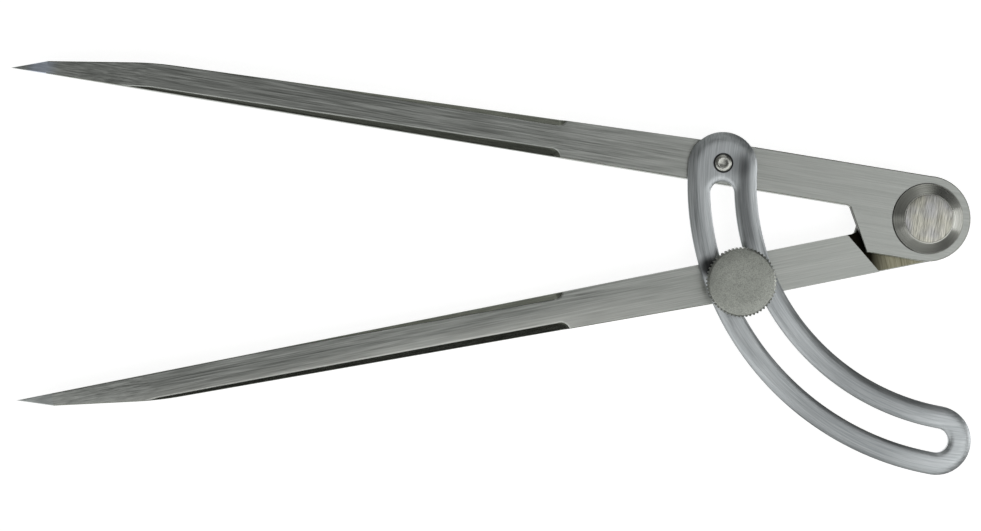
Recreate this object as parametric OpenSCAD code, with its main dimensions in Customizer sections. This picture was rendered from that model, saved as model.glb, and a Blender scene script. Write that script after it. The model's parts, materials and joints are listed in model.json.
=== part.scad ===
// Layout compass with a slotted wing and a knurled clamp screw.
// The origin lies on the hinge axis, on the flat rear end of the hinge rivet.
// The legs lie along -X, open about that axis, and the clamp screw stands up along +Z.

/* [Legs] */
// Hinge axis to the scribing point
leg_reach = 192; // [150:0.1:260]
// Width of each leg beside the hinge
leg_w = 8.8; // [7:0.1:11]
// Thickness of each leg
leg_t = 5; // [4:0.1:7]
// Angle between the inner edges at rest
rest_angle = 20.6; // [12:0.1:60]
// Space between the inner edges when the legs are shut
shut_gap = 0.2; // [0.1:0.05:0.6]
// Hinge axis to the start of the taper on the outer edge
taper_from = 37.5; // [30:0.5:60]
// Width of the leg where the point begins
shank_w = 5.85; // [4.5:0.05:7]
// Length of the ground point
point_len = 29.3; // [20:0.1:40]
// Half length of the soft bend where the point begins
bend_len = 4.5; // [2:0.5:8]
// Length of the steep facet at the very end
nib_len = 7.5; // [4:0.1:10]
// Width of the leg where the steep facet begins
nib_w = 2.7; // [1.5:0.1:4]
// Thickness left at the very end
nib_t = 0.4; // [0.2:0.1:1]

/* [Leg bevels] */
// Hinge axis to the run-out of the bevels
bevel_from = 76.7; // [65:0.1:95]
// Wide bevel at its run-out
wide_bevel = 1.75; // [1:0.05:2]
// Wide bevel where the point begins
wide_bevel_end = 0.75; // [0.3:0.05:0.9]
// Slim bevel at its run-out
slim_bevel = 1.3; // [0.6:0.05:1.8]
// Length over which the slim bevel dies away
slim_bevel_len = 62; // [30:1:75]
// Slope of the bevels below the face
bevel_angle = 38; // [30:1:45]
// How far the bevel cutter's tip radius exceeds the bevel
cutter_spare = 0.3; // [0.2:0.05:1]
// How far the bevel cutter bites past the bevel at its run-out
cutter_bite = 0.05; // [0.03:0.01:0.15]

/* [Hinge] */
// Diameter of the round hinge head
head_d = 17.7; // [15:0.1:21]
// Hinge axis to the root of the lug, along the inner edge
lug_from = 16.2; // [14:0.1:19]
// How much nearer the hinge the clamp leg's lug begins
rear_lug_back = 1.2; // [0:0.1:2]
// Angle of the lug's edge to the leg
lug_angle = 61; // [52:1:70]
// Fillet at the root of the lug
lug_fillet = 1.4; // [0.5:0.1:2]
// Space between the lug's edge and the other leg's step when shut
lap_gap = 0.5; // [0.4:0.05:1]
// Thickness of the friction washer between the laps
friction_t = 0.3; // [0.2:0.05:0.6]
// Diameter of the friction washer
friction_d = 14; // [11:0.1:15]
// Diameter of the rivet's shank
rivet_d = 6.4; // [5:0.1:8]
// Diameter of the rivet's spread ends
rivet_end_d = 9.8; // [8.6:0.1:11]
// Diameter of the conical washers
cone_d = 14.4; // [13:0.1:16]
// Diameter of the flat end of a conical washer
cone_top_d = 10.3; // [9.9:0.1:12]
// Height of a conical washer
cone_h = 1.8; // [1.5:0.1:2.6]
// Height of the straight rim under the cone
cone_rim_h = 0.4; // [0.2:0.05:0.8]

/* [Wing] */
// Radius of the slot's centre line
wing_r = 53.5; // [48:0.1:60]
// Width of the wing
wing_w = 14.2; // [12:0.1:17]
// Thickness of the wing
wing_t = 2; // [1.5:0.1:3]
// Width of the slot
slot_w = 5; // [4.6:0.05:6]
// Hinge axis to the wing pin, along the pivot leg
pin_from = 43.6; // [40:0.1:47]
// Wing pin to the round end of the wing beside it
pin_edge = 6.4; // [5.5:0.1:8]
// How far the slot's centre line passes inside the screw at rest
slot_shift = 0.3; // [0:0.05:0.6]
// Wing pin to the near end of the slot's centre line
slot_from = 6.2; // [5.2:0.1:7.5]
// Angle about the wing's centre from the pin to the far end of the slot
slot_sweep = 84.5; // [75:0.5:100]

/* [Wing pin] */
// Diameter of the wing pin
pin_d = 3.6; // [3:0.1:4.5]
// Diameter of the pin's end
pin_end_d = 3.1; // [2.4:0.1:3.4]
// Depth of the ring-shaped groove round the pin's end
pin_groove = 0.4; // [0.2:0.05:0.8]
// How far the pin's end stands above the wing
pin_proud = 0.6; // [0.3:0.05:1]
// Bevel on the pin's end
pin_bevel = 0.25; // [0.1:0.05:0.4]
// Diameter of the countersunk head at the back of the leg
pin_head_d = 5.6; // [5:0.1:7]
// How far the countersunk head sits below the back of the leg
pin_head_sunk = 0.1; // [0.05:0.05:0.3]

/* [Clamp screw] */
// Hinge axis to the screw, along the clamp leg
screw_from = 40.7; // [38:0.1:45]
// Inner edge of the clamp leg to the screw
screw_in = 5.2; // [4:0.1:5.6]
// Diameter of the knurled head
knob_d = 14.3; // [12:0.1:17]
// Height of the knurled head
knob_h = 3.6; // [2.5:0.1:6]
// Teeth in the knurl
knurl_count = 56; // [40:1:70]
// Depth of the knurl
knurl_depth = 0.35; // [0.2:0.05:0.5]
// Bevel on the rims of the knurled head
knob_bevel = 0.45; // [0.2:0.05:0.8]
// Diameter of the collar under the head
collar_d = 9.4; // [8:0.1:11]
// Height of the collar
collar_h = 0.7; // [0.4:0.1:1.5]
// Diameter of the neck in the slot
neck_d = 2; // [1.6:0.1:2.4]
// Diameter of the threaded end
thread_d = 4; // [3:0.1:4.5]
// Top of the thread below the front of the leg
thread_drop = 1.6; // [1.5:0.05:2]
// How far the screw's end sits inside the back of the leg
thread_inset = 0.2; // [0:0.05:0.5]
// Diameter of the clamp washer
clamp_washer_d = 10.6; // [9.5:0.1:12]
// Thickness of the clamp washer
clamp_washer_t = 0.8; // [0.5:0.1:1.5]

/* [Fits] */
// Space between flat faces that slide
face_gap = 0.03; // [0.02:0.01:0.1]
// Radial space of a turning fit
turn_gap = 0.04; // [0.02:0.01:0.1]
// Radial space of a tight fit
seat_gap = 0.01; // [0.01:0.01:0.05]

/* [Hidden] */
$fn = 96;
bend_steps = 8;
arc_steps = 48;
cap_steps = 24;
past = 1;

leg_colour = "#8f9392";
wing_colour = "#9a9fa3";
hinge_colour = "#b3b5b3";
knob_colour = "#8c8e8c";
friction_colour = "#6b6650";

// Levels, from the rear end of the rivet upwards
leg_back = cone_h + face_gap;
leg_front = leg_back + leg_t;
lap_t = (leg_t - friction_t - face_gap) / 2;
hinge_top = leg_front + cone_h;
wing_back = leg_front + face_gap;
wing_front = wing_back + wing_t;
clamp_washer_z = wing_front + face_gap;
collar_z = clamp_washer_z + clamp_washer_t + face_gap;
knob_z = collar_z + collar_h;

// Leg outline, with x along the leg and the inner edge just below y = 0
inner_y = -shut_gap / 2;
head_r = head_d / 2;
point_x = leg_reach - point_len;
nib_x = leg_reach - nib_len;
taper_slope = (leg_w - shank_w) / (point_x - taper_from);
flank_slope = (shank_w - nib_w) / (nib_x - point_x);
lug_slope = 1 / tan(lug_angle);
step_from = lug_from + lap_gap / sin(lug_angle);

// Wing pin, clamp screw and wing centre in plan. The arc passes through the pin and beside the screw.
pin_in = leg_w / 2;
pin_dir = 180 - rest_angle / 2;
screw_dir = 180 + rest_angle / 2;
pin_xy = pin_from * along(pin_dir) + pin_in * along(pin_dir - 90);
screw_xy = screw_from * along(screw_dir) + screw_in * along(screw_dir + 90);
span = norm(screw_xy - pin_xy);
span_dir = (screw_xy - pin_xy) / span;
screw_r = wing_r + slot_shift;
span_part = (span * span + wing_r * wing_r - screw_r * screw_r) / (2 * span);
arc_rise = sqrt(wing_r * wing_r - span_part * span_part);
wing_xy = pin_xy + span_part * span_dir + arc_rise * [-span_dir.y, span_dir.x];
pin_bearing = atan2(pin_xy.y - wing_xy.y, pin_xy.x - wing_xy.x);
end_turn = (wing_w / 2 - pin_edge) / wing_r * 180 / PI;
slot_turn = slot_from / wing_r * 180 / PI;

function along(angle) = [cos(angle), sin(angle)];
function outer_y(x) = -leg_w + taper_slope * (x - taper_from);
function flank_y(x) = -shank_w + flank_slope * (x - point_x);
function between(a, b, t) = a + (b - a) * t;

// Soft bend from the tapered edge into the flank of the point
function bend_point(t) =
    let (a = [point_x - bend_len, outer_y(point_x - bend_len)])
    let (b = [point_x, -shank_w])
    let (c = [point_x + bend_len, flank_y(point_x + bend_len)])
    between(between(a, b, t), between(b, c, t), t);

module bar_plan() {
    polygon([
        [step_from, 0] + inner_y * [-lug_slope, 1],
        [leg_reach, inner_y],
        [nib_x, -nib_w],
        for (i = [bend_steps:-1:0]) bend_point(i / bend_steps),
        [taper_from, -leg_w],
        [step_from - leg_w * lug_slope, -leg_w]
    ]);
}

module lug_root_plan(root) {
    reach = lug_fillet / tan((180 - lug_angle) / 2);
    difference() {
        polygon([[root, inner_y], [root + reach, inner_y],
                 [root, inner_y] + reach * along(180 - lug_angle)]);
        translate([root + reach, inner_y + lug_fillet]) circle(lug_fillet);
    }
}

// Round head and lug, where root is the distance from the hinge axis to the root of the lug
module lap_plan(root) {
    circle(head_r);
    polygon([[0, head_r], [root - head_r * lug_slope, head_r], [root - inner_y * lug_slope, inner_y],
             [step_from + past, inner_y], [step_from + past, -leg_w],
             [0, -leg_w], [0, -head_r]]);
    lug_root_plan(root);
}

// Flat sloping cut along an edge on y = 0, ended by the cone of its cutter
module bevel_cut(from_w, to_w, length) {
    cutter_r = from_w + cutter_spare;
    reach = from_w + cutter_spare / 2;
    slope = tan(bevel_angle);
    centre_y = cutter_r - cutter_bite;
    run_out = sqrt(cutter_r * cutter_r - (centre_y - from_w) * (centre_y - from_w));
    translate([run_out, -from_w, 0]) rotate([0, 0, atan((from_w - to_w) / length)]) {
        rotate([90, 0, 90]) linear_extrude(leg_reach)
            polygon([[-past, past * slope], [reach, -reach * slope], [reach, past * slope]]);
        translate([0, centre_y, -reach * slope])
            cylinder(h = (reach + past) * slope, r1 = cutter_r - reach, r2 = cutter_r + past);
    }
}

module face_bevels(inner_from, inner_to, inner_len, outer_from, outer_to, outer_len) {
    translate([bevel_from, inner_y, 0]) bevel_cut(inner_from, inner_to, inner_len);
    translate([bevel_from, outer_y(bevel_from), 0]) rotate([0, 0, atan(taper_slope)])
        mirror([0, 1, 0]) bevel_cut(outer_from, outer_to, outer_len);
}

module point_grind() {
    grind_angle = atan((leg_t - nib_t) / 2 / point_len);
    translate([point_x, -leg_w, 0]) rotate([0, grind_angle, 0])
        cube([point_len + leg_w, 2 * leg_w, leg_t]);
}

// One leg with its lap at the front and its back on z = 0. Turned over, it makes the other leg.
module leg_blank(lug_root) {
    wide_len = point_x - bevel_from;
    difference() {
        union() {
            linear_extrude(leg_t) bar_plan();
            translate([0, 0, leg_t - lap_t]) linear_extrude(lap_t) lap_plan(lug_root);
        }
        translate([0, 0, -past]) cylinder(h = leg_t + 2 * past, d = rivet_d + 2 * turn_gap);
        translate([0, 0, leg_t]) {
            face_bevels(wide_bevel, wide_bevel_end, wide_len, slim_bevel, 0, slim_bevel_len);
            point_grind();
        }
        mirror([0, 0, 1]) {
            face_bevels(slim_bevel, 0, slim_bevel_len, wide_bevel, wide_bevel_end, wide_len);
            point_grind();
        }
    }
}

// Countersunk pin standing on the z = 0 plane, for the pin itself and for its seat
module pin_body(spare) {
    head_h = (pin_head_d - pin_d) / 2;
    rotate_extrude() polygon([
        [0, 0], [pin_head_d / 2 + spare, 0], [pin_d / 2 + spare, head_h],
        [pin_d / 2 + spare, leg_t + past], [0, leg_t + past]
    ]);
}

module pivot_leg() {
    color(leg_colour) translate([0, 0, leg_back]) rotate([0, 0, pin_dir]) difference() {
        leg_blank(lug_from);
        translate([pin_from, -pin_in, pin_head_sunk]) pin_body(turn_gap);
        translate([pin_from, -pin_in, -past])
            cylinder(h = past + pin_head_sunk, d = pin_head_d + 2 * turn_gap);
    }
}

module clamp_leg() {
    color(leg_colour) translate([0, 0, leg_front]) rotate([0, 0, screw_dir]) rotate([180, 0, 0])
        difference() {
            leg_blank(lug_from - rear_lug_back);
            translate([screw_from, -screw_in, -past])
                cylinder(h = leg_t + 2 * past, d = thread_d + 2 * turn_gap);
        }
}

// Half section of the rivet, for the rivet itself and for the seats in its washers
module rivet_section(spare) {
    flare_h = (rivet_end_d - rivet_d) / 2;
    shank_r = rivet_d / 2 + spare;
    end_r = rivet_end_d / 2 + spare;
    polygon([[0, 0], [end_r, 0], [shank_r, flare_h], [shank_r, hinge_top - flare_h],
             [end_r, hinge_top], [0, hinge_top]]);
}

module hinge_rivet() {
    color(hinge_colour) rotate_extrude() rivet_section(0);
}

// Conical washer with its wide side on z = 0
module cone_washer() {
    cylinder(h = cone_rim_h, d = cone_d);
    translate([0, 0, cone_rim_h])
        cylinder(h = cone_h - cone_rim_h, d1 = cone_d, d2 = cone_top_d);
}

module front_cone_washer() {
    color(hinge_colour) difference() {
        translate([0, 0, leg_front]) cone_washer();
        rotate_extrude() rivet_section(seat_gap);
    }
}

module rear_cone_washer() {
    color(hinge_colour) difference() {
        translate([0, 0, cone_h]) mirror([0, 0, 1]) cone_washer();
        rotate_extrude() rivet_section(seat_gap);
    }
}

module friction_washer() {
    color(friction_colour) translate([0, 0, leg_front - lap_t - friction_t]) difference() {
        cylinder(h = friction_t, d = friction_d);
        translate([0, 0, -past]) cylinder(h = friction_t + 2 * past, d = rivet_d + 2 * seat_gap);
    }
}

// Outline of a strip with round ends along the slot's centre line, about the wing's centre
function strip_outline(from, to, width) =
    let (near = pin_bearing + from)
    let (far = pin_bearing + to)
    [
        for (i = [0:arc_steps]) (wing_r + width / 2) * along(between(near, far, i / arc_steps)),
        for (i = [1:cap_steps - 1]) wing_r * along(far) + width / 2 * along(far + 180 * i / cap_steps),
        for (i = [0:arc_steps]) (wing_r - width / 2) * along(between(far, near, i / arc_steps)),
        for (i = [1:cap_steps - 1]) wing_r * along(near) - width / 2 * along(near + 180 * i / cap_steps)
    ];

module wing() {
    pin_at = wing_r * along(pin_bearing);
    color(wing_colour) translate([wing_xy.x, wing_xy.y, wing_back]) difference() {
        linear_extrude(wing_t) difference() {
            polygon(strip_outline(end_turn, slot_sweep, wing_w));
            polygon(strip_outline(slot_turn, slot_sweep, slot_w));
        }
        translate([pin_at.x, pin_at.y, -past])
            cylinder(h = wing_t + 2 * past, d = pin_d + 2 * seat_gap);
    }
}

module wing_pin() {
    head_h = (pin_head_d - pin_d) / 2;
    shoulder_z = wing_front - pin_groove;
    end_z = wing_front + pin_proud;
    foot_z = leg_back + pin_head_sunk;
    end_r = pin_end_d / 2;
    color(hinge_colour) translate([pin_xy.x, pin_xy.y, 0]) rotate_extrude() polygon([
        [0, foot_z], [pin_head_d / 2, foot_z], [pin_d / 2, foot_z + head_h],
        [pin_d / 2, shoulder_z], [end_r, shoulder_z], [end_r, end_z - pin_bevel],
        [end_r - pin_bevel, end_z], [0, end_z]
    ]);
}

module knurled_head() {
    rim_r = knob_d / 2;
    clear_r = rim_r + knurl_depth;
    bevel_rise = knob_bevel + knurl_depth;
    intersection() {
        linear_extrude(knob_h) polygon([
            for (i = [0:2 * knurl_count - 1])
                (rim_r - (i % 2) * knurl_depth) * along(180 * i / knurl_count)
        ]);
        rotate_extrude() polygon([
            [0, 0], [rim_r - knob_bevel, 0], [clear_r, bevel_rise], [clear_r, knob_h - bevel_rise],
            [rim_r - knob_bevel, knob_h], [0, knob_h]
        ]);
    }
}

module clamp_screw() {
    thread_z = leg_back + thread_inset;
    thread_top = leg_front - thread_drop;
    color(knob_colour) translate([screw_xy.x, screw_xy.y, 0]) {
        translate([0, 0, knob_z]) knurled_head();
        translate([0, 0, collar_z]) cylinder(h = collar_h, d = collar_d);
        translate([0, 0, thread_top]) cylinder(h = collar_z - thread_top, d = neck_d);
        translate([0, 0, thread_z]) cylinder(h = thread_top - thread_z, d = thread_d);
    }
}

module clamp_washer() {
    color(hinge_colour) translate([screw_xy.x, screw_xy.y, clamp_washer_z]) difference() {
        cylinder(h = clamp_washer_t, d = clamp_washer_d);
        translate([0, 0, -past])
            cylinder(h = clamp_washer_t + 2 * past, d = neck_d + 2 * turn_gap);
    }
}

pivot_leg();
clamp_leg();
hinge_rivet();
front_cone_washer();
rear_cone_washer();
friction_washer();
wing();
wing_pin();
clamp_screw();
clamp_washer();
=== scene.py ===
import json
import math

import bpy
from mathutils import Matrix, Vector

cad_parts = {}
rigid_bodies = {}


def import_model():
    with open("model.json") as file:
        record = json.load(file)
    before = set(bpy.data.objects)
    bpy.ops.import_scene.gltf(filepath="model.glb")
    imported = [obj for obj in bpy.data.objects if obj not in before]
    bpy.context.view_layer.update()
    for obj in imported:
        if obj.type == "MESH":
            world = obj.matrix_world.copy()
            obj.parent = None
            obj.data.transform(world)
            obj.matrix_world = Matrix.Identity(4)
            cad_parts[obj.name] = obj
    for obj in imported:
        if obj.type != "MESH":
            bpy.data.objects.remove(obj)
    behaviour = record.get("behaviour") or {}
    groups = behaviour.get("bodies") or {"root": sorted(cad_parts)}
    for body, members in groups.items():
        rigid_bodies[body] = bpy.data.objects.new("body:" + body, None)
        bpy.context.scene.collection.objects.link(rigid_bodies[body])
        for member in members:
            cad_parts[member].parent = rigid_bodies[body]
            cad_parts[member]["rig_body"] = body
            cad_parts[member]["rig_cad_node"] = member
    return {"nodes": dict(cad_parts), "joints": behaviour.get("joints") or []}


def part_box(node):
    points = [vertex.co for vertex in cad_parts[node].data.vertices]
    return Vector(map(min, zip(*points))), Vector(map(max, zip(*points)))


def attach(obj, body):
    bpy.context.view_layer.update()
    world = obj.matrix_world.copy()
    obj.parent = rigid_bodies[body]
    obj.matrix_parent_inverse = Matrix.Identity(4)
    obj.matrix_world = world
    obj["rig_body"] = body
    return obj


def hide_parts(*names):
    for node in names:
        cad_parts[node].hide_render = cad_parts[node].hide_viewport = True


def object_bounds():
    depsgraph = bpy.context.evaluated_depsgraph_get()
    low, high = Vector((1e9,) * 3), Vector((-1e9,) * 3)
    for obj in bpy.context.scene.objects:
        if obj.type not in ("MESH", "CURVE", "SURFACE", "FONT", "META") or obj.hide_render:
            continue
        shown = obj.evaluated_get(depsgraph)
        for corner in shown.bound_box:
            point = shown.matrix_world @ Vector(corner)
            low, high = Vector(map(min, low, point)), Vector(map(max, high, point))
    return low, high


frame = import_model()
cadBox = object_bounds()
mm = 0.001
print("frame loaded,", len(frame["nodes"]), "nodes")

# places and levels, taken from the joints and the solids
joints = {joint["name"]: joint for joint in frame["joints"]}
hingeAt = Vector(joints["leg_hinge"]["pos_m"])
pinAt = Vector(joints["wing_swing"]["pos_m"])
screwAt = Vector(joints["screw_turn"]["pos_m"])
halfOpen = math.radians(-joints["leg_hinge"]["range_deg"][0] / 2)
upperAngle = math.pi - halfOpen  # bearing of the upper leg
lowerAngle = math.pi + halfOpen
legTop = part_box("pivot_leg")[1].z
wingLow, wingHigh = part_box("wing")


def linear(hexCode):
    # sRGB to linear light
    channels = [int(hexCode[i : i + 2], 16) / 255 for i in (1, 3, 5)]
    bent = [c / 12.92 if c <= 0.04045 else ((c + 0.055) / 1.055) ** 2.4 for c in channels]
    return (*bent, 1.0)


def bearingOf(offset):
    return math.atan2(offset.y, offset.x) % (2 * math.pi)


def addNode(tree, kind, settings):
    # a socket among the settings is linked, anything else is set
    node = tree.nodes.new(kind)
    for key, value in settings.items():
        if isinstance(key, str) and key not in node.inputs:
            setattr(node, key, value)
        elif isinstance(value, bpy.types.NodeSocket):
            tree.links.new(value, node.inputs[key])
        else:
            node.inputs[key].default_value = value
    return node


def addMath(tree, operation, *terms):
    settings = {"operation": operation, **dict(enumerate(terms))}
    return addNode(tree, "ShaderNodeMath", settings).outputs[0]


def addVectorMath(tree, operation, *terms):
    settings = {"operation": operation, **dict(enumerate(terms))}
    outputs = addNode(tree, "ShaderNodeVectorMath", settings).outputs
    givesNumber = operation in ("DOT_PRODUCT", "LENGTH", "DISTANCE")
    return outputs["Value" if givesNumber else "Vector"]


def mapRange(tree, source, start, stop, first=0.0, last=1.0, easing="LINEAR"):
    settings = {"interpolation_type": easing, 0: source, 1: start, 2: stop, 3: first, 4: last}
    return addNode(tree, "ShaderNodeMapRange", settings).outputs["Result"]


def mixTone(tree, share, under, over, blend="MIX"):
    settings = {"data_type": "RGBA", "blend_type": blend, "Factor": share, 6: under, 7: over}
    return addNode(tree, "ShaderNodeMix", settings).outputs[2]


def toneRamp(tree, source, dark, light, span):
    ramp = addNode(tree, "ShaderNodeValToRGB", {"Fac": source})
    for stop, position, hexCode in zip(ramp.color_ramp.elements, span, (dark, light)):
        stop.position = position
        stop.color = linear(hexCode)
    return ramp.outputs["Color"]


def addNoise(tree, place, scale, detail, roughness=0.5, distortion=0.0):
    settings = {
        "Vector": place,
        "Scale": scale,
        "Detail": detail,
        "Roughness": roughness,
        "Distortion": distortion,
    }
    return addNode(tree, "ShaderNodeTexNoise", settings).outputs["Fac"]


def objectPlace(tree):
    return addNode(tree, "ShaderNodeTexCoord", {}).outputs["Object"]


def splitPlace(tree, place):
    return addNode(tree, "ShaderNodeSeparateXYZ", {0: place}).outputs


def turnedMap(tree, place, bearing, size=(1, 1, 1), centre=(0, 0, 0)):
    settings = {
        "vector_type": "TEXTURE",
        "Vector": place,
        "Location": centre,
        "Rotation": (0, 0, bearing),
        "Scale": size,
    }
    return addNode(tree, "ShaderNodeMapping", settings).outputs[0]


def newFinish(name, look, metallic=1.0):
    material = bpy.data.materials.new(name)
    material.use_nodes = True
    shader = material.node_tree.nodes["Principled BSDF"]
    shader.inputs["Metallic"].default_value = metallic
    for socket, key in (("Roughness", "roughness"), ("Anisotropic", "stretch")):
        if key in look:
            shader.inputs[socket].default_value = look[key]
    return material, material.node_tree, shader


def varyRoughness(tree, shader, noise, roughSpan):
    noiseLow, noiseHigh = 0.3, 0.7  # nearly all of a noise lies between these
    rough = mapRange(tree, noise, noiseLow, noiseHigh, *roughSpan)
    tree.links.new(rough, shader.inputs["Roughness"])


def addBump(tree, shader, height, depth):
    bump = addNode(tree, "ShaderNodeBump", {"Height": height, "Distance": depth})
    tree.links.new(bump.outputs["Normal"], shader.inputs["Normal"])


def addTangent(tree, shader, direction):
    settings = {
        "vector_type": "VECTOR",
        "convert_from": "OBJECT",
        "convert_to": "WORLD",
        "Vector": direction,
    }
    tangent = addNode(tree, "ShaderNodeVectorTransform", settings)
    tree.links.new(tangent.outputs[0], shader.inputs["Tangent"])


flatOnly = (1, 1, 0)  # a place times this loses its height
coarseShare = 0.3  # where two noises are added, the share of the coarse one
sumSpan = (0.45, 0.85)  # the part of that sum which a tone ramp covers


# Carbon steel belt-ground along the leg: a mid grey with a faint green cast,
# fine lengthwise lines, and highlights drawn out across the lines.
groundLook = {
    "lineWide": 0.26 * mm,  # drawn about three times as coarse as the belt's grit, to show
    "lineLong": 11 * mm,
    "bandWide": 1.3 * mm,
    "bandLong": 40 * mm,
    "dark": "#929591",
    "light": "#cacdc9",
    "roughSpan": (0.28, 0.44),
    "stretch": 0.55,
    "scratchDeep": 0.007 * mm,
    "calm": "#b0b3af",  # beside the hinge the lines fade into this
    "calmShare": 0.5,
    "calmReach": (25 * mm, 110 * mm),
}


def groundSteel(name, bearing, look):
    material, tree, shader = newFinish(name, look)
    place = objectPlace(tree)
    along = (math.cos(bearing), math.sin(bearing), 0)
    across = (-math.sin(bearing), math.cos(bearing), 0)
    lineSize = (look["lineLong"], look["lineWide"], look["lineWide"])
    bandSize = (look["bandLong"], look["bandWide"], look["bandWide"])
    lines = addNoise(tree, turnedMap(tree, place, bearing, lineSize), 1.0, detail=3.0, roughness=0.6)
    bands = addNoise(tree, turnedMap(tree, place, bearing, bandSize), 1.0, detail=2.0)
    both = addMath(tree, "MULTIPLY_ADD", bands, coarseShare, lines)
    tone = toneRamp(tree, both, look["dark"], look["light"], sumSpan)
    if "calmReach" in look:
        fromHinge = addVectorMath(tree, "DOT_PRODUCT", place, along)
        calmer = mapRange(tree, fromHinge, *look["calmReach"], look["calmShare"], 0.0)
        tone = mixTone(tree, calmer, tone, linear(look["calm"]))
    if "bluedReach" in look:
        begin, full, fade, end = look["bluedReach"]
        fromHinge = addVectorMath(tree, "DOT_PRODUCT", place, along)
        rise = mapRange(tree, fromHinge, begin, full, easing="SMOOTHSTEP")
        fall = mapRange(tree, fromHinge, end, fade, easing="SMOOTHSTEP")
        blued = toneRamp(tree, both, look["bluedDark"], look["bluedLight"], sumSpan)
        tone = mixTone(tree, addMath(tree, "MULTIPLY", rise, fall), tone, blued)
    # painted highlight: paler towards one edge of the leg and far from the hinge
    if "paleReach" in look:
        fromHinge = addVectorMath(tree, "DOT_PRODUCT", place, along)
        fromAxis = addVectorMath(tree, "DOT_PRODUCT", place, across)
        outside = mapRange(tree, fromAxis, *look["paleReach"], 0.0, look["paleShare"])
        beyond = mapRange(tree, fromHinge, *look["paleFrom"])
        paler = addMath(tree, "MULTIPLY", outside, beyond)
        tone = mixTone(tree, paler, tone, linear(look["pale"]))
    tree.links.new(tone, shader.inputs["Base Color"])
    varyRoughness(tree, shader, lines, look["roughSpan"])
    addBump(tree, shader, lines, look["scratchDeep"])
    addTangent(tree, shader, across)
    return material


# The same steel honed by hand at the points: finer lines and a cleaner grey.
honedLook = {
    "lineWide": 0.2 * mm,
    "lineLong": 5 * mm,
    "bandWide": 1.2 * mm,
    "bandLong": 8 * mm,
    "dark": "#9ca09f",
    "light": "#c2c7c5",
    "roughSpan": (0.3, 0.42),
    "stretch": 0.5,
    "scratchDeep": 0.003 * mm,
}

# The upper point grew warm as it was ground, which left a pale, faintly blue band
# across it. The tip itself was honed again and is grey.
blueBand = {
    "bluedReach": (181.5 * mm, 185.2 * mm, 186.8 * mm, 189.4 * mm),  # begins, full, fades, ends
    "bluedDark": "#bcc5d4",
    "bluedLight": "#dbe3f0",
}
bluedLook = dict(honedLook, **blueBand)
fadedLook = dict(groundLook, **blueBand)

# The lower leg is painted paler towards its outer edge, further from the hinge: a painted highlight.
lowerHighlightLook = dict(
    groundLook,
    paleReach=(3.0 * mm, 7.0 * mm),  # across the leg, from the line through the hinge
    paleFrom=(50 * mm, 85 * mm),  # along the leg
    pale="#f4f5ef",
    paleShare=0.6,
)

# The long bevels, cut smooth with a cone-ended mill: finer than the belt finish, and painted darker
# as a painted reflection of the dark room.
darkenedBevelLook = {
    "lineWide": 0.12 * mm,
    "lineLong": 3 * mm,
    "bandWide": 0.8 * mm,
    "bandLong": 14 * mm,
    "dark": "#73766d",
    "light": "#9da096",
    "roughSpan": (0.15, 0.22),
    "stretch": 0.0,
    "scratchDeep": 0.0012 * mm,
}

# Edges broken with a file and worn smooth by the hand, and painted dark: a thin outline of painted
# dark reflection.
darkOutlineLook = dict(darkenedBevelLook, dark="#5f625c", light="#85887f", roughSpan=(0.16, 0.24))


# Spring steel, barrel-polished after stamping and brushed along the arc: cooler and
# smoother than the legs, so its soft edges carry clear dark and light bands.
wingLook = {
    "arcCentre": (11.13 * mm, 6.85 * mm, 0),
    "arcRadius": 53.5 * mm,
    "arcMiddle": math.radians(217),
    "lineWide": 0.28 * mm,
    "lineLong": 9 * mm,
    "dark": "#a3a8aa",
    "light": "#cdd1d3",
    "toneSpan": (0.32, 0.7),
    "roughSpan": (0.32, 0.42),
    "stretch": 0.2,
    "scratchDeep": 0.003 * mm,
    "limbPaintedShades": (  # painted shade on the limbs: radius and bearing as middle, full within, clear from, then tone
        ((49.0 * mm, 0.4 * mm, 1.9 * mm), (-34, 8, 15), 0.42),
        ((53.5 * mm, 9.0 * mm, 12.0 * mm), (23, 6, 22), 0.7),
    ),
    "paintedShadeSpots": (  # painted shade spots: place, clear from, full within, tone
        ((-45.4 * mm, -9.2 * mm, 8.8 * mm), 3.0 * mm, 1.0 * mm, 0.12),  # painted shadow beside the knob
        ((-38.8 * mm, 11.6 * mm, 8.8 * mm), 3.6 * mm, 0.8 * mm, 0.6),  # painted shade beside the pin
        ((pinAt.x, pinAt.y, wingHigh.z), 2.14 * mm, 1.98 * mm, 0.08),  # painted shade round the pin
    ),
}


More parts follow.
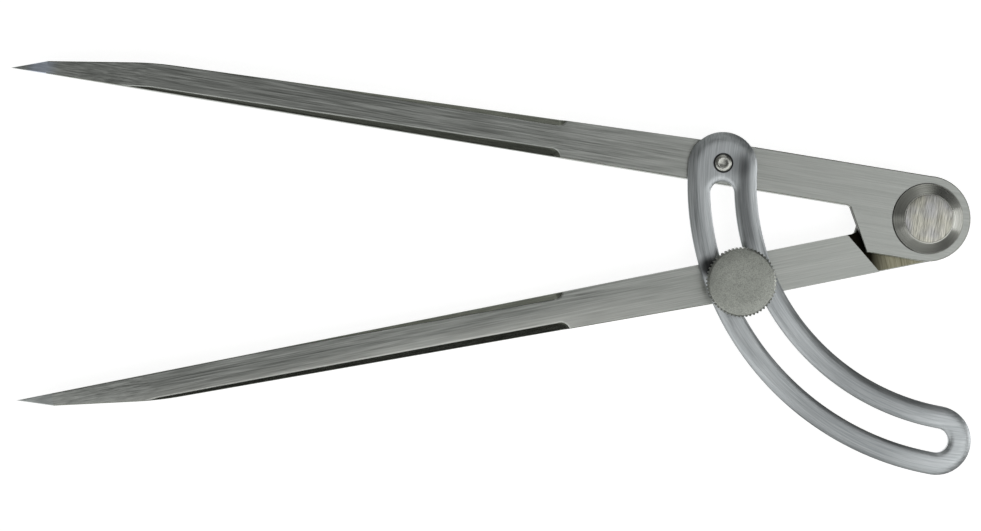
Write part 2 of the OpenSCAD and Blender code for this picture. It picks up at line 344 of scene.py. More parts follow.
def arcSteel(name, look):
    material, tree, shader = newFinish(name, look)
    place = objectPlace(tree)
    local = turnedMap(tree, place, look["arcMiddle"], centre=look["arcCentre"])
    radius = addVectorMath(tree, "LENGTH", addVectorMath(tree, "MULTIPLY", local, flatOnly))
    parts = splitPlace(tree, local)
    angle = addMath(tree, "ARCTAN2", parts["Y"], parts["X"])
    unrolled = {
        "X": addMath(tree, "DIVIDE", radius, look["lineWide"]),
        "Y": addMath(tree, "MULTIPLY", angle, look["arcRadius"] / look["lineLong"]),
        "Z": addMath(tree, "DIVIDE", parts["Z"], look["lineWide"]),
    }
    linePlace = addNode(tree, "ShaderNodeCombineXYZ", unrolled).outputs[0]
    lines = addNoise(tree, linePlace, 1.0, detail=3.0, roughness=0.6)
    tone = toneRamp(tree, lines, look["dark"], look["light"], look["toneSpan"])
    # patches of painted shade and shadow darken the tone
    paintedShades = []
    for shadeRadius, shadeBearing, share in look["limbPaintedShades"]:
        shadeAngle = [math.radians(degrees) for degrees in shadeBearing]
        masks = []
        for source, (middle, full, clear) in ((radius, shadeRadius), (angle, shadeAngle)):
            away = addMath(tree, "ABSOLUTE", addMath(tree, "SUBTRACT", source, middle))
            masks.append(mapRange(tree, away, full, clear, 1.0, 0.0, "SMOOTHSTEP"))
        paintedShades.append((addMath(tree, "MULTIPLY", *masks), share))
    for spotAt, clear, full, share in look["paintedShadeSpots"]:
        toSpot = addVectorMath(tree, "DISTANCE", place, spotAt)
        paintedShades.append((mapRange(tree, toSpot, full, clear, 1.0, 0.0, "SMOOTHSTEP"), share))
    for shadeMask, share in paintedShades:
        tone = mixTone(tree, shadeMask, tone, (share, share, share, 1), "MULTIPLY")
    tree.links.new(tone, shader.inputs["Base Color"])
    varyRoughness(tree, shader, lines, look["roughSpan"])
    addBump(tree, shader, lines, look["scratchDeep"])
    addTangent(tree, shader, addVectorMath(tree, "SUBTRACT", place, look["arcCentre"]))
    return material


# Lathe-turned steel: concentric tool marks, so light gathers in sectors round the axis.
turnedLook = {
    "markWide": 0.14 * mm,
    "dark": "#a2a39d",
    "light": "#c8c9c3",
    "toneSpan": (0.35, 0.65),
    "roughness": 0.24,
    "stretch": 0.5,
    "markDeep": 0.003 * mm,
}


def turnedSteel(name, axisAt, look):
    material, tree, shader = newFinish(name, look)
    place = objectPlace(tree)
    outward = addVectorMath(tree, "SUBTRACT", place, (axisAt.x, axisAt.y, 0))
    flat = addVectorMath(tree, "MULTIPLY", outward, flatOnly)
    section = {"X": addVectorMath(tree, "LENGTH", flat), "Z": splitPlace(tree, place)["Z"]}
    markPlace = addNode(tree, "ShaderNodeCombineXYZ", section).outputs[0]
    marks = addNoise(tree, markPlace, 1 / look["markWide"], detail=2.0)
    tone = toneRamp(tree, marks, look["dark"], look["light"], look["toneSpan"])
    tree.links.new(tone, shader.inputs["Base Color"])
    addBump(tree, shader, marks, look["markDeep"])
    addTangent(tree, shader, flat)
    return material


# Rivet steel dressed flush with a coarse file: pale, with short near-upright cuts
# and faint straw and violet patches where it grew warm.
filedLook = {
    "cutWide": 0.11 * mm,
    "cutLong": 2.4 * mm,
    "cutWaver": 0.15,
    "lean": math.radians(80),
    "patch": 4.0 * mm,
    "patchShare": 0.8,
    "dark": "#8a8a86",
    "light": "#f0f0ec",
    "toneSpan": (0.3, 0.7),
    "warm": "#e6e4d8",
    "cool": "#dddde2",
    "tintSpan": (0.4, 0.6),
    "roughness": 0.32,
    "cutDeep": 0.03 * mm,
}


def filedSteel(name, look):
    material, tree, shader = newFinish(name, look)
    place = objectPlace(tree)
    cutSize = (look["cutLong"], look["cutWide"], look["cutLong"])
    cutPlace = turnedMap(tree, place, look["lean"], cutSize)
    cuts = addNoise(tree, cutPlace, 1.0, detail=2.0, distortion=look["cutWaver"])
    patches = addNoise(tree, place, 1 / look["patch"], detail=1.0)
    tint = toneRamp(tree, patches, look["cool"], look["warm"], look["tintSpan"])
    tone = toneRamp(tree, cuts, look["dark"], look["light"], look["toneSpan"])
    tinted = mixTone(tree, look["patchShare"], tone, tint, "MULTIPLY")
    tree.links.new(tinted, shader.inputs["Base Color"])
    addBump(tree, shader, cuts, look["cutDeep"])
    return material


# Grit-blasted steel: an even matt grey with a fine sparkling grain.
blastedLook = {
    "grain": 0.22 * mm,
    "patch": 1.4 * mm,
    "dark": "#949791",
    "light": "#babdb6",
    "roughness": 0.52,
    "grainDeep": 0.012 * mm,
}

# The knurled rim, left as rolled: smoother than the blasted face, so its teeth glint.
rolledLook = {
    "grain": 0.12 * mm,
    "patch": 1.0 * mm,
    "dark": "#868983",
    "light": "#b0b3ac",
    "roughness": 0.32,
    "grainDeep": 0.003 * mm,
}


def blastedSteel(name, look):
    material, tree, shader = newFinish(name, look)
    place = objectPlace(tree)
    grain = addNoise(tree, place, 1 / look["grain"], detail=2.0)
    patches = addNoise(tree, place, 1 / look["patch"], detail=2.0)
    both = addMath(tree, "MULTIPLY_ADD", patches, coarseShare, grain)
    tone = toneRamp(tree, both, look["dark"], look["light"], sumSpan)
    tree.links.new(tone, shader.inputs["Base Color"])
    addBump(tree, shader, grain, look["grainDeep"])
    return material


# Milled lap face, stained by old oil: olive brown, with cross-wise cutter lines.
milledLook = {
    "lineWide": 0.25 * mm,
    "lineLong": 6 * mm,
    "bandWide": 2.2 * mm,
    "bandLong": 5 * mm,
    "dark": "#77745f",
    "light": "#b3b09a",
    "roughSpan": (0.38, 0.55),
    "stretch": 0.3,
    "scratchDeep": 0.006 * mm,
}

# Painted shadow in the corner of the lap, where the other leg's lug shades it: black at the step,
# fading towards the rivet
lugShadowLook = {
    "reach": (-11.5 * mm, -7.5 * mm),  # black up to the first x, clear from the second
    "tone": "#17150f",
}


def addLugShadow(material, look):
    tree = material.node_tree
    shader = tree.nodes["Principled BSDF"]
    steelTone = shader.inputs["Base Color"].links[0].from_socket
    fromHinge = splitPlace(tree, objectPlace(tree))["X"]
    shadowShare = mapRange(tree, fromHinge, *look["reach"], 1.0, 0.0)
    withPaintedShadow = mixTone(tree, shadowShare, steelTone, linear(look["tone"]))
    tree.links.new(withPaintedShadow, shader.inputs["Base Color"])


# Painted shade, near black, in the groove round the pin and at the foot of the washer
paintedShadeLook = {
    "mottleSize": 0.3 * mm,
    "dark": "#0b0a08",
    "light": "#231f18",
    "toneSpan": (0.35, 0.7),
    "roughness": 0.45,
    "mottleDeep": 0.03 * mm,
}


def paintedShadeFinish(name, look):
    material, tree, shader = newFinish(name, look, metallic=0.0)
    mottleNoise = addNoise(tree, objectPlace(tree), 1 / look["mottleSize"], detail=3.0)
    tone = toneRamp(tree, mottleNoise, look["dark"], look["light"], look["toneSpan"])
    tree.links.new(tone, shader.inputs["Base Color"])
    addBump(tree, shader, mottleNoise, look["mottleDeep"])
    return material


# Rolled brass shim, dulled: seen only as a thin line between the laps.
brassLook = {
    "lineWide": 0.1 * mm,
    "lineLong": 4 * mm,
    "bandWide": 1 * mm,
    "bandLong": 6 * mm,
    "dark": "#8a7440",
    "light": "#c3a866",
    "roughSpan": (0.3, 0.45),
    "stretch": 0.3,
    "scratchDeep": 0.002 * mm,
}

upperSteel = groundSteel("beltGroundSteelUpperLeg", upperAngle, fadedLook)
lowerSteel = groundSteel("beltGroundSteelLowerLeg", lowerAngle, lowerHighlightLook)
upperHoned = groundSteel("honedSteelUpperPoint", upperAngle, bluedLook)
lowerHoned = groundSteel("honedSteelLowerPoint", lowerAngle, honedLook)
upperBevel = groundSteel("milledBevelSteelUpperLeg", upperAngle, darkenedBevelLook)
lowerBevel = groundSteel("milledBevelSteelLowerLeg", lowerAngle, darkenedBevelLook)
upperEdge = groundSteel("wornEdgePaintedDarkSteelUpperLeg", upperAngle, darkOutlineLook)
lowerEdge = groundSteel("wornEdgePaintedDarkSteelLowerLeg", lowerAngle, darkOutlineLook)
upperMilled = groundSteel("oiledMilledSteelUpperLapPaintedShadow", upperAngle + math.pi / 2, milledLook)
lowerMilled = groundSteel("oiledMilledSteelLowerLapPaintedShadow", lowerAngle + math.pi / 2, milledLook)
addLugShadow(upperMilled, lugShadowLook)
addLugShadow(lowerMilled, lugShadowLook)
wingSteel = arcSteel("barrelPolishedSpringSteel", wingLook)
hingeTurned = turnedSteel("latheTurnedSteelHinge", hingeAt, turnedLook)
pinTurned = turnedSteel("latheTurnedSteelPin", pinAt, turnedLook)
washerTurned = turnedSteel("latheTurnedSteelWasher", screwAt, turnedLook)
rivetFiled = filedSteel("filedRivetSteel", filedLook)
paintedShadeBlack = paintedShadeFinish("nearBlackPaintedShade", paintedShadeLook)
knobBlasted = blastedSteel("gritBlastedSteel", blastedLook)
knobRolled = blastedSteel("knurledRolledSteel", rolledLook)
shimBrass = groundSteel("rolledBrassShim", 0.0, brassLook)
print("materials made:", len(bpy.data.materials))


def clearSelection():
    if bpy.context.mode != "OBJECT":
        bpy.ops.object.mode_set(mode="OBJECT")
    bpy.ops.object.select_all(action="DESELECT")


def namePiece(piece, name, materials):
    piece.name = name
    piece.data.name = name
    piece.data.materials.clear()
    for material in materials:
        piece.data.materials.append(material)


def copyNode(nodeName, pieceName, materials):
    mergeWithin = 0.02 * mm
    flatWithin = math.radians(0.1)
    clearSelection()
    node = frame["nodes"][nodeName]
    node.select_set(True)
    bpy.context.view_layer.objects.active = node
    bpy.ops.object.duplicate()
    piece = bpy.context.object
    namePiece(piece, pieceName, materials)
    piece.parent = None
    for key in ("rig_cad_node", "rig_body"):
        del piece[key]
    bpy.ops.object.mode_set(mode="EDIT")
    bpy.ops.mesh.select_mode(type="EDGE")
    bpy.ops.mesh.select_all(action="SELECT")
    bpy.ops.mesh.customdata_custom_splitnormals_clear()
    bpy.ops.mesh.remove_doubles(threshold=mergeWithin)
    bpy.ops.mesh.dissolve_limited(angle_limit=flatWithin)
    return piece


def selectSharpEdges(piece, sharpness, wanted):
    # sharp edges whose two ends both pass the test
    bpy.ops.mesh.select_all(action="DESELECT")
    bpy.ops.mesh.edges_select_sharp(sharpness=sharpness)
    bpy.ops.object.mode_set(mode="OBJECT")
    mesh = piece.data
    places = [vertex.co for vertex in mesh.vertices]
    chosen = []
    for edge in mesh.edges:
        ends = [places[i] for i in edge.vertices]
        chosen.append(edge.select and all(wanted(end) for end in ends))
    for part in (mesh.vertices, mesh.polygons):
        part.foreach_set("select", [False] * len(part))
    mesh.edges.foreach_set("select", chosen)
    bpy.ops.object.mode_set(mode="EDIT")


def finishPiece(piece, smoothAngle, body, slotName, *nodes):
    clearSelection()
    piece.select_set(True)
    bpy.context.view_layer.objects.active = piece
    bpy.ops.object.shade_smooth_by_angle(angle=smoothAngle)
    bpy.ops.object.modifier_add(type="WEIGHTED_NORMAL")
    piece.modifiers[-1].keep_sharp = True
    bpy.ops.object.modifier_apply(modifier=piece.modifiers[-1].name)
    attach(piece, body)
    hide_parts(*nodes)


# Legs: the solids with their edges broken, their laps milled and their points honed
legMake = {
    "slots": {"belt": 0, "milled": 1, "honed": 2, "bevel": 3, "edge": 4},  # order of the materials
    "smooth": math.radians(30),
    "sharpFrom": math.radians(35),
    "edge": 0.18 * mm,
    "edgeSteps": 2,
    "edgeRise": math.cos(math.radians(22.5)),  # how far up the broken strip of a square edge faces
    "edgeSlack": 0.02,
    "ridgeRise": 0.8,  # a strip that faces up by more than this, but not by edgeRise, is a ridge
    "nibLong": 7.5 * mm,
    "lapMargin": 0.3 * mm,  # a flat face this far inside the leg is a lap
    "lapRise": 0.99,
    "lapReach": 30 * mm,
    "rootFrom": 10 * mm,  # from here to the lap's reach, a wall that faces the point takes the lap's finish and painted shadow too
    "rootFacing": 0.6,
    "cornerFrom": 16.7 * mm,  # thin corner where the lap runs out into the notch, left sharp
    "cornerReach": 1.5 * mm,
    "cornerLevel": -0.4 * mm,  # from the middle of the leg, counted towards the lap
    "bevelRise": math.cos(math.radians(38)),
    "bevelSlack": 0.04,
}


def makeLeg(nodeName, pieceName, bearing, lapSide, materials, make):
    piece = copyNode(nodeName, pieceName, materials)
    slots = make["slots"]
    along = Vector((math.cos(bearing), math.sin(bearing), 0))
    low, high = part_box(nodeName)
    reach = low.x / along.x
    nibAt = along * (reach - make["nibLong"])
    bpy.ops.mesh.select_all(action="SELECT")
    bpy.ops.mesh.bisect(plane_co=nibAt, plane_no=along)
    corner = along * make["cornerFrom"]
    middle = (low.z + high.z) / 2

    def isBroken(end):
        isNear = (end - corner).xy.length < make["cornerReach"]
        return not (isNear and (end.z - middle) * lapSide > make["cornerLevel"])

    selectSharpEdges(piece, make["sharpFrom"], isBroken)
    bpy.ops.mesh.bevel(
        offset=make["edge"],
        segments=make["edgeSteps"],
        affect="EDGES",
        clamp_overlap=False,
        material=slots["edge"],
    )
    bpy.ops.mesh.select_all(action="SELECT")
    bpy.ops.mesh.normals_make_consistent(inside=False)
    bpy.ops.object.mode_set(mode="OBJECT")
    finishPiece(piece, make["smooth"], nodeName, "leg_steel", nodeName)
    for face in piece.data.polygons:
        rise = face.normal.z
        fromHinge = face.center.dot(along)
        nearLap = fromHinge < make["lapReach"]
        inside = low.z + make["lapMargin"] < face.center.z < high.z - make["lapMargin"]
        isLap = nearLap and inside and abs(rise) > make["lapRise"]
        facesPoint = face.normal.dot(along) > make["rootFacing"]
        isRoot = nearLap and fromHinge > make["rootFrom"] and facesPoint
        if fromHinge > nibAt.length:
            face.material_index = slots["honed"]
        elif face.material_index == slots["edge"]:
            # the ridge above a long bevel keeps the belt finish; other broken edges keep the painted
            # dark outline
            isRidge = rise > make["ridgeRise"] and abs(rise - make["edgeRise"]) > make["edgeSlack"]
            face.material_index = slots["belt"] if isRidge else slots["edge"]
        elif isLap or isRoot:
            face.material_index = slots["milled"]
        elif abs(rise - make["bevelRise"]) < make["bevelSlack"] and not nearLap:
            face.material_index = slots["bevel"]
    print(pieceName, "made,", len(piece.data.polygons), "faces")


upperFinish = [upperSteel, upperMilled, upperHoned, upperBevel, upperEdge]
lowerFinish = [lowerSteel, lowerMilled, lowerHoned, lowerBevel, lowerEdge]
makeLeg("pivot_leg", "upperLeg", upperAngle, -1, upperFinish, legMake)
makeLeg("clamp_leg", "lowerLeg", lowerAngle, 1, lowerFinish, legMake)


# Wing: the solid with a broad soft crown rolled onto its face
wingMake = {
    "smooth": math.radians(40),
    "sharpFrom": math.radians(40),
    "backEdge": 0.25 * mm,
    "backSteps": 2,
    "outerCrown": 2.7 * mm,  # how far the soft edge reaches in over the face
    "slotCrown": 1.7 * mm,
    "crownSlope": 0.21,
    "crownSteps": 9,
    "crownEnd": 0.96,  # share of the reach, then of the drop, taken before the edge is broken
    "crownDrop": 0.96,
    "slotSpan": (math.radians(176), math.radians(264.2)),
    "slotReach": 4.2 * mm,
    "holeClear": 2.5 * mm,  # the rim of the pin's hole stays sharp
    "levelSlack": 0.01 * mm,
}


def makeWing(look, make):
    piece = copyNode("wing", "wingArc", [wingSteel])
    top = wingHigh.z
    centre = Vector(look["arcCentre"])

    def onBack(end):
        return abs(end.z - wingLow.z) < make["levelSlack"]

    def onFace(end):
        isClear = (end - pinAt).xy.length > make["holeClear"]
        return isClear and abs(end.z - top) < make["levelSlack"]

    def inSlot(end):
        offset = (end - centre).xy
        isAlong = make["slotSpan"][0] < bearingOf(offset) < make["slotSpan"][1]
        return isAlong and abs(offset.length - look["arcRadius"]) < make["slotReach"]

    def onOuter(end):
        return onFace(end) and not inSlot(end)

    def onSlot(end):
        return onFace(end) and inSlot(end)

    selectSharpEdges(piece, make["sharpFrom"], onBack)
    bpy.ops.mesh.bevel(
        offset=make["backEdge"], segments=make["backSteps"], affect="EDGES", clamp_overlap=False
    )
    # the crown is bevelled on a stretched wing, so that it comes out broad and shallow
    bpy.ops.mesh.select_all(action="SELECT")
    bpy.ops.transform.resize(value=(1, 1, 1 / make["crownSlope"]), center_override=(0, 0, top))
    # it falls away ever faster, then comes the broken edge
    profile = bpy.context.scene.tool_settings.custom_bevel_profile_preset
    for step in range(1, make["crownSteps"]):
        share = make["crownEnd"] * step / (make["crownSteps"] - 1)
        profile.points.add(share, 1 - make["crownDrop"] * share**3)
    for point in profile.points:
        point.handle_type_1 = "VECTOR"
        point.handle_type_2 = "VECTOR"
    profile.update()
    for reach, wanted in ((make["outerCrown"], onOuter), (make["slotCrown"], onSlot)):
        selectSharpEdges(piece, make["sharpFrom"], wanted)
        bpy.ops.mesh.bevel(
            offset=reach,
            segments=make["crownSteps"],
            profile_type="CUSTOM",
            affect="EDGES",
            clamp_overlap=False,
            loop_slide=False,
        )
    bpy.ops.mesh.select_all(action="SELECT")
    bpy.ops.transform.resize(value=(1, 1, make["crownSlope"]), center_override=(0, 0, top))
    bpy.ops.mesh.normals_make_consistent(inside=False)
    finishPiece(piece, make["smooth"], "wing", "wing_steel", "wing")
    print("wing made,", len(piece.data.polygons), "faces")


makeWing(wingLook, wingMake)


def turnedBox(nodeName):
    # radius, foot and top of a turned solid, in mm
    low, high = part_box(nodeName)
    return (high.x - low.x) / 2 / mm, low.z / mm, high.z / mm


def turnPiece(name, axisAt, profile, sides, materials):
    # a section of (radius, level) pairs in mm, drawn round an upright axis;
    # a section that ends where it starts makes a ring
    mergeWithin = 0.001 * mm
    clearSelection()
    section = [(radius * mm, level * mm) for radius, level in profile]
    startRadius, startLevel = section[0]
    bpy.ops.mesh.primitive_circle_add(
        vertices=sides,
        radius=startRadius,
        fill_type="NOTHING" if section[-1] == section[0] else "NGON",
        location=(axisAt.x, axisAt.y, startLevel),
    )
    piece = bpy.context.object
    namePiece(piece, name, materials)
    bpy.ops.object.transform_apply(location=True, rotation=True, scale=True)
    bpy.ops.object.mode_set(mode="EDIT")
    bpy.ops.mesh.select_all(action="SELECT")
    for (oldRadius, oldLevel), (radius, level) in zip(section, section[1:]):
        bpy.ops.mesh.extrude_region_move(TRANSFORM_OT_translate={"value": (0, 0, level - oldLevel)})
        share = radius / oldRadius
        bpy.ops.transform.resize(value=(share, share, 1), center_override=(axisAt.x, axisAt.y, level))
    bpy.ops.mesh.select_all(action="SELECT")
    bpy.ops.mesh.remove_doubles(threshold=mergeWithin)
    bpy.ops.mesh.normals_make_consistent(inside=False)
    bpy.ops.object.mode_set(mode="OBJECT")
    return piece


def washerSection(outer, back, face, bore, soft):
    return [
        (bore, back),
        (outer - soft, back),
        (outer, back + soft),
        (outer, face - soft),
        (outer - soft, face),
        (bore, face),
        (bore, back),
    ]


# Hinge, in mm: rivet, its two conical washers and the shim between the laps
hingeMake = {
    "sides": 128,
    "edge": 0.08,
    "rivetEnd": 9.8,
    "rivetShank": 6.4,
    "rivetCentre": 0.3,  # radius of the small face in the middle of an end
    "rivetRing": 0.6,  # where the end has one more ring, as a share of its radius
    "rivetSmooth": math.radians(35),
    "coneTop": 10.3,
    "coneRim": 0.4,
    "coneSoft": 0.6,  # share of the edge by which the cone's two corners are eased
    "coneSmooth": math.radians(28),
    "seat": 0.01,
    "shadowLip": 0.16,  # painted shadow in the corner at the washer's foot, left out on the lit right side
    "shadowSpan": (math.radians(75), math.radians(245)),
    "shimBore": 6.42,
    "shimSoft": 5,  # the shim's corners are broken by its thickness over this
    "shimSmooth": math.radians(30),
}


def makeHinge(make):
    foot, top = turnedBox("hinge_rivet")[1:]
    end = make["rivetEnd"] / 2
    shank = make["rivetShank"] / 2
    edge = make["edge"]
    flare = end - shank
    sides = make["sides"]

    def turnedOver(section):
        return [(radius, top + foot - level) for radius, level in section]

    half = [
        (make["rivetCentre"], foot),
        (end * make["rivetRing"], foot),
        (end - 2 * edge, foot),
        (end - edge / 2, foot + edge / 4),
        (end - edge / 4, foot + edge),
        (shank, foot + flare),
    ]
    rivet = turnPiece("filedRivet", hingeAt, half + turnedOver(reversed(half)), sides, [rivetFiled])
    finishPiece(rivet, make["rivetSmooth"], "pivot_leg", "rivet_steel", "hinge_rivet")

    rim, seatZ, faceZ = turnedBox("front_cone_washer")
    coneTop = make["coneTop"] / 2
    bore = shank + make["seat"]
    mouth = end + make["seat"]
    rimZ = seatZ + make["coneRim"]
    ring = [
        (bore, seatZ),
        (rim - edge, seatZ),
        (rim, seatZ + edge),
        (rim, rimZ - edge),
        (rim - edge, rimZ + edge * make["coneSoft"]),
        (coneTop + edge, faceZ - edge * make["coneSoft"]),
        (coneTop - edge / 2, faceZ),
        (mouth + edge / 4, faceZ),
        (mouth - edge / 2, faceZ - edge),
        (bore, faceZ - flare),
        (bore, seatZ),
    ]
    lip = make["shadowLip"]
    withPaintedShadow = [ring[0], (rim + lip, seatZ), (rim, seatZ + lip)] + ring[3:]
    front = turnPiece("frontConeWasher", hingeAt, withPaintedShadow, sides, [hingeTurned, paintedShadeBlack])
    finishPiece(front, make["coneSmooth"], "pivot_leg", "turned_steel", "front_cone_washer")
    # lip faces on the shaded side take the painted shadow
    for face in front.data.polygons:
        offset = face.center - hingeAt
        isFoot = offset.xy.length > rim * mm and face.center.z < (seatZ + lip) * mm
        if isFoot and make["shadowSpan"][0] < bearingOf(offset) < make["shadowSpan"][1]:
            face.material_index = 1
    rear = turnPiece("rearConeWasher", hingeAt, turnedOver(ring), sides, [hingeTurned])
    finishPiece(rear, make["coneSmooth"], "pivot_leg", "turned_steel", "rear_cone_washer")

    shimOut, shimBack, shimFace = turnedBox("friction_washer")
    soft = (shimFace - shimBack) / make["shimSoft"]
    shimRing = washerSection(shimOut, shimBack, shimFace, make["shimBore"] / 2, soft)
    shim = turnPiece("frictionShim", hingeAt, shimRing, sides, [shimBrass])
    finishPiece(shim, make["shimSmooth"], "pivot_leg", "shim_brass", "friction_washer")
    print("hinge made")


makeHinge(hingeMake)


# Wing pin, in mm: countersunk at the back, its end turned down and bevelled, with a shallow dimple
pinMake = {
    "sides": 64,
    "smooth": math.radians(30),
    "centre": 0.3,  # radius of the small face in the middle of the head
    "headEdge": 0.06,
    "body": 3.6,
    "bodyEdge": 0.05,
    "end": 3.5,
    "groove": 0.4,
    "grooveSlack": 0.06,
    "bevel": 0.3,
    "bevelSoft": (0.3, 0.4),  # where the bevel bends, as shares of it
    "dimple": 0.05,
    "dimpleWide": 1.7,
    "dimpleEdge": 0.15,
    "dimpleCentre": 0.2,
}


def makePin(make):
    head, foot, top = turnedBox("wing_pin")
    body = make["body"] / 2
    end = make["end"] / 2
    shoulder = wingHigh.z / mm - make["groove"]
    headEdge = make["headEdge"]
    bodyEdge = make["bodyEdge"]
    bevel = make["bevel"]
    bendIn, bendDown = make["bevelSoft"]
    dimpleOut = make["dimpleWide"] / 2
    dimpleFloor = top - make["dimple"]
    section = [
        (make["centre"], foot),
        (head - headEdge, foot),
        (head, foot + headEdge),
        (body, foot + head - body),
        (body, shoulder - bodyEdge),
        (body - bodyEdge, shoulder),
        (end, shoulder),
        (end, top - bevel),
        (end - bevel * bendIn, top - bevel * bendDown),
        (end - bevel, top),
        (dimpleOut, top),
        (dimpleOut - make["dimpleEdge"], dimpleFloor),
        (make["dimpleCentre"], dimpleFloor),
    ]
    pin = turnPiece("wingPinTurned", pinAt, section, make["sides"], [pinTurned, paintedShadeBlack])
    finishPiece(pin, make["smooth"], "wing", "rivet_steel", "wing_pin")
    # the groove's floor is painted near black as shade
    for face in pin.data.polygons:
        if abs(face.center.z / mm - shoulder) < make["grooveSlack"]:
            face.material_index = 1
    print("pin made")


makePin(pinMake)


# Clamp screw, in mm: knurled head, collar, neck and thread in one piece
screwMake = {
    "smooth": math.radians(24),
    "teeth": 56,
    "toothSides": 4,
    "toothDeep": 0.35,
    "gapPhase": (0.4, 0.9),  # part of a tooth's pitch that is pressed in
    "rimSlack": 0.01,
    "centre": 0.4,  # radius of the small face in the middle of an end
    "faceRing": 0.5,  # where the face has one more ring, as a share of the rim
    "headHigh": 3.6,
    "bevel": 0.45,
    "faceEdge": (0.14, 0.06),  # soft edge between face and bevel: how far in, how far down
    "step": 0.02,  # keeps two rings from one level or one radius
    "collar": 9.4,
    "collarHigh": 0.7,
    "collarEdge": 0.1,
    "neck": 2.0,
    "thread": 4.0,
    "threadTop": 5.23,
    "threadBevel": 0.3,
}


def makeScrew(make):
    rim, foot, top = turnedBox("clamp_screw")
    headFoot = top - make["headHigh"]
    collarFoot = headFoot - make["collarHigh"]
    bevel = make["bevel"]
    deep = make["toothDeep"]
    edgeIn, edgeDown = make["faceEdge"]
    step = make["step"]
    collar = make["collar"] / 2
    collarEdge = make["collarEdge"]
    neck = make["neck"] / 2
    thread = make["thread"] / 2
    threadTop = make["threadTop"]
    threadBevel = make["threadBevel"]
    section = [
        (make["centre"], foot),
        (thread - threadBevel, foot),
        (thread, foot + threadBevel),
        (thread, threadTop - threadBevel),
        (thread - threadBevel, threadTop),
        (neck, threadTop),
        (neck, collarFoot),
        (collar - collarEdge, collarFoot),
        (collar, collarFoot + collarEdge),
        (collar, headFoot - step),
        (rim - bevel - collarEdge, headFoot),
        (rim - bevel, headFoot + step),
        (rim, headFoot + bevel),
        (rim, top - bevel),
        (rim - bevel + step, top - edgeDown),
        (rim - bevel - edgeIn, top),
        (rim * make["faceRing"], top),
        (make["centre"], top),
    ]
    sides = make["teeth"] * make["toothSides"]
    screw = turnPiece("knurledScrew", screwAt, section, sides, [knobBlasted, knobRolled])
    # every second pair of columns is pressed in as a tooth gap
    mesh = screw.data
    for part in (mesh.vertices, mesh.edges, mesh.polygons):
        part.foreach_set("select", [False] * len(part))
    pitch = 2 * math.pi / make["teeth"]
    gapStart, gapEnd = make["gapPhase"]
    for vertex in mesh.vertices:
        offset = vertex.co - screwAt
        phase = (math.atan2(offset.y, offset.x) / pitch) % 1.0
        onRim = offset.xy.length > (rim - make["rimSlack"]) * mm
        vertex.select = onRim and gapStart < phase < gapEnd
    bpy.context.view_layer.objects.active = screw
    bpy.ops.object.mode_set(mode="EDIT")
    bpy.ops.mesh.select_mode(type="VERT")
    rootShare = (rim - deep) / rim
    bpy.ops.transform.resize(value=(rootShare, rootShare, 1), center_override=screwAt)
    headMiddle = (headFoot + top) / 2 * mm
    flank = make["headHigh"] / 2 - bevel
    rise = (flank + deep) / flank
    bpy.ops.transform.resize(value=(1, 1, rise), center_override=(screwAt.x, screwAt.y, headMiddle))
    bpy.ops.mesh.select_all(action="SELECT")
    bpy.ops.mesh.normals_make_consistent(inside=False)
    finishPiece(screw, make["smooth"], "clamp_screw", "knob_steel", "clamp_screw")
    for face in screw.data.polygons:
        if (face.center - screwAt).xy.length > (rim - bevel - edgeIn) * mm:
            face.material_index = 1
    print("screw made,", len(screw.data.polygons), "faces")


makeScrew(screwMake)


# Washer under the screw's collar, in mm
washerMake = {
    "sides": 96,
    "smooth": math.radians(30),
    "bore": 2.08,
    "edge": 0.12,
}


def makeClampWasher(make):
    outer, back, face = turnedBox("clamp_washer")
    ring = washerSection(outer, back, face, make["bore"] / 2, make["edge"])
    washer = turnPiece("clampWasherTurned", screwAt, ring, make["sides"], [washerTurned])
    finishPiece(washer, make["smooth"], "clamp_washer", "turned_steel", "clamp_washer")
    print("clamp washer made")


makeClampWasher(washerMake)


# Stage: white floor and the photo's camera
stageMake = {
    "floorWide": 8.0,
    "floorGap": 0.01 * mm,
    "floorTone": (0.4, 0.4, 0.4, 1),
    "floorRough": 0.9,
    "glow": 0.86,  # of the floor, as the camera and the steel see it
    "cameraFar": 0.6,
    "clipFar": 50,
    "viewWide": 202.2 * mm,
    "viewCentre": (-90.28 * mm, -8.15 * mm),
    "viewRoll": math.radians(-0.95),
    "sensor": 36.0,
}


def makeFloor(make):
    clearSelection()
    level = cadBox[0].z - make["floorGap"]
    bpy.ops.mesh.primitive_plane_add(size=make["floorWide"], location=(0, 0, level))
    floor = bpy.context.object
    floor.name = "studioFloor"
    look = {"roughness": make["floorRough"]}
    paint, tree, shader = newFinish("whitePaintedFloor", look, metallic=0.0)
    shader.inputs["Base Color"].default_value = make["floorTone"]
    shader.inputs["Specular IOR Level"].default_value = 0.0
    rays = addNode(tree, "ShaderNodeLightPath", {}).outputs
    mirrored = addMath(tree, "MAXIMUM", rays["Is Glossy Ray"], rays["Is Transmission Ray"])
    seen = addMath(tree, "MAXIMUM", rays["Is Camera Ray"], mirrored)
    glow = addMath(tree, "MULTIPLY", seen, make["glow"])
    shader.inputs["Emission Color"].default_value = (1, 1, 1, 1)
    tree.links.new(glow, shader.inputs["Emission Strength"])
    floor.data.materials.append(paint)


# Soft lamps: place, what each is turned to, its size and its brightness
lampMake = {
    "overheadBox": ((0.22, -0.15, 0.55), (0.22, -0.15, 0), (0.46, 0.44), 1.18),
    "sideWindow": ((0.75, -0.03, 0.27), (-0.03, -0.01, 0), (0.5, 0.2), 1.8),
    "frontFill": ((-0.44, -0.36, 0.60), (-0.03, -0.03, 0), (0.44, 0.40), 1.2),
    "lowFill": ((-0.095, -0.21, 0.50), (-0.13, -0.03, 0), (0.12, 0.16), 1.6),
    "highWindow": ((0.55, -0.05, 0.36), (-0.03, -0.02, 0), (0.24, 0.12), 2.4),
    "frontBox": ((0.03, -0.46, 0.44), (0, -0.03, 0), (0.34, 0.16), 0.9),
    "backFill": ((0.02, 0.28, 0.45), (-0.03, 0, 0), (0.16, 0.16), 0.5),
}


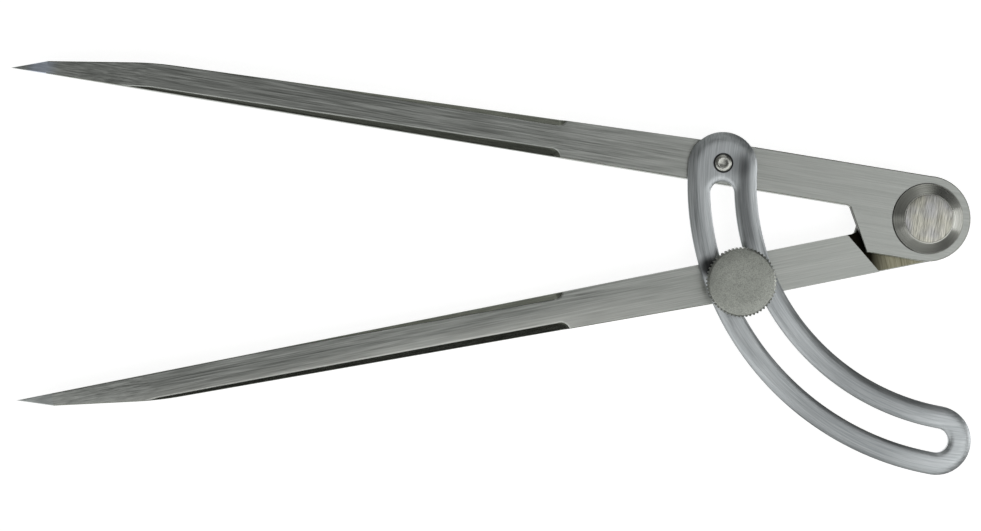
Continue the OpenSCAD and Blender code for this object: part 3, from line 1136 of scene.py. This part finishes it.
def addLamp(name, place, target, size, radiance):
    lamp = bpy.data.lights.new(name, "AREA")
    lamp.shape = "RECTANGLE"
    lamp.size = size[0]
    lamp.size_y = size[1]
    lamp.energy = radiance * math.pi * size[0] * size[1]
    holder = bpy.data.objects.new(name, lamp)
    holder.location = place
    holder.rotation_euler = (Vector(target) - Vector(place)).to_track_quat("-Z", "Y").to_euler()
    holder.visible_camera = False
    bpy.context.scene.collection.objects.link(holder)


# The room as the steel mirrors it: brightness by compass bearing, counted from +X
roomMake = {
    "bearings": (
        (-180, 0.42),
        (-165, 0.20),
        (-140, 0.20),
        (-110, 0.40),
        (-75, 0.40),
        (-45, 0.28),
        (-20, 0.30),
        (0, 0.30),
        (20, 0.22),
        (36, 0.08),
        (58, 0.05),
        (90, 0.52),
        (115, 0.26),
        (150, 0.18),
        (168, 0.14),
        (180, 0.42),
    ),
    "tint": "#fdfefb",
    "zenith": 0.12,
    "zenithBand": (0.75, 0.97),
    "southBand": (-0.35, -0.75),  # a dark table edge on the near side
    "southEdge": (0.27, 0.36),
    "southDark": 0.05,
}


def makeRoom(make):
    world = bpy.data.worlds.new("studioRoom")
    bpy.context.scene.world = world
    world.use_nodes = True
    tree = world.node_tree
    back = tree.nodes["Background"]
    direction = addNode(tree, "ShaderNodeTexCoord", {}).outputs["Generated"]
    parts = splitPlace(tree, direction)
    bearing = addMath(tree, "ARCTAN2", parts["Y"], parts["X"])
    share = mapRange(tree, bearing, -math.pi, math.pi)
    ramp = addNode(tree, "ShaderNodeValToRGB", {"Fac": share})
    ramp.color_ramp.interpolation = "EASE"
    stops = ramp.color_ramp.elements
    stops.remove(stops[1])
    for index, (degrees, level) in enumerate(make["bearings"]):
        position = (degrees + 180) / 360
        stop = stops[0] if index == 0 else stops.new(position)
        stop.position = position
        stop.color = (level, level, level, 1)
    south = mapRange(tree, parts["Y"], *make["southBand"])
    low = mapRange(tree, parts["Z"], *make["southEdge"], 1 - make["southDark"], 0.0)
    kept = addMath(tree, "SUBTRACT", 1.0, addMath(tree, "MULTIPLY", south, low))
    around = addMath(tree, "MULTIPLY", ramp.outputs["Color"], kept)
    above = mapRange(tree, parts["Z"], *make["zenithBand"])
    mixing = {"data_type": "FLOAT", "Factor": above, 2: around, 3: make["zenith"]}
    strength = addNode(tree, "ShaderNodeMix", mixing).outputs[0]
    tree.links.new(strength, back.inputs["Strength"])
    back.inputs["Color"].default_value = linear(make["tint"])


def makeCamera(make):
    camera = bpy.data.cameras.new("photoCamera")
    camera.sensor_width = make["sensor"]
    camera.lens = make["sensor"] * make["cameraFar"] / make["viewWide"]
    camera.clip_end = make["clipFar"]
    holder = bpy.data.objects.new("photoCamera", camera)
    holder.location = (*make["viewCentre"], legTop + make["cameraFar"])
    holder.rotation_euler = (0, 0, make["viewRoll"])
    bpy.context.scene.collection.objects.link(holder)
    bpy.context.scene.camera = holder


makeFloor(stageMake)
for lampName, lampSettings in lampMake.items():
    addLamp(lampName, *lampSettings)
makeRoom(roomMake)
makeCamera(stageMake)
bpy.context.scene.view_settings.view_transform = "Standard"
print("stage made")
